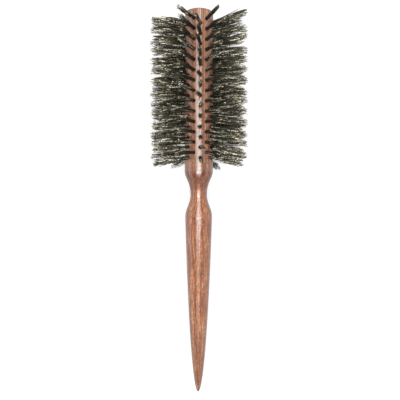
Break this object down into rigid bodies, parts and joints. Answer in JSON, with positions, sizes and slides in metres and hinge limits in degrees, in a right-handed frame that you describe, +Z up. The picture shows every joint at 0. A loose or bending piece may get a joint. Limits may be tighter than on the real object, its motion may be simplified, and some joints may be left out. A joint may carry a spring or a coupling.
{
  "type": "round hair brush",
  "caption": "Round hair brush: a turned wooden barrel and tapered handle in one piece, with staggered rows of dark bristle tufts anchored in drilled holes all round the barrel.",
  "frame": {"origin": "on the surface that the brush lies on, under the middle of its box", "axes": "+Y along the brush from the handle's tip to the barrel's end, +Z up, +X across the brush"},
  "size_m": [0.0574, 0.228, 0.0557],
  "materials": {
    "lacquered_wood": "gloss",
    "bristle": "satin",
    "anchor_wire": "satin"
  },
  "bodies": {
    "root": {"turned_body": "lacquered_wood", "tuft_row_01": "bristle", "tuft_row_02": "bristle", "tuft_row_03": "bristle", "tuft_row_04": "bristle", "tuft_row_05": "bristle", "tuft_row_06": "bristle", "tuft_row_07": "bristle", "tuft_row_08": "bristle", "tuft_row_09": "bristle", "tuft_row_10": "bristle", "tuft_row_11": "bristle", "tuft_row_12": "bristle", "tuft_row_13": "bristle", "tuft_row_14": "bristle", "anchor_row_01": "anchor_wire", "anchor_row_02": "anchor_wire", "anchor_row_03": "anchor_wire", "anchor_row_04": "anchor_wire", "anchor_row_05": "anchor_wire", "anchor_row_06": "anchor_wire", "anchor_row_07": "anchor_wire", "anchor_row_08": "anchor_wire", "anchor_row_09": "anchor_wire", "anchor_row_10": "anchor_wire", "anchor_row_11": "anchor_wire", "anchor_row_12": "anchor_wire", "anchor_row_13": "anchor_wire", "anchor_row_14": "anchor_wire"}
  },
  "joints": []
}
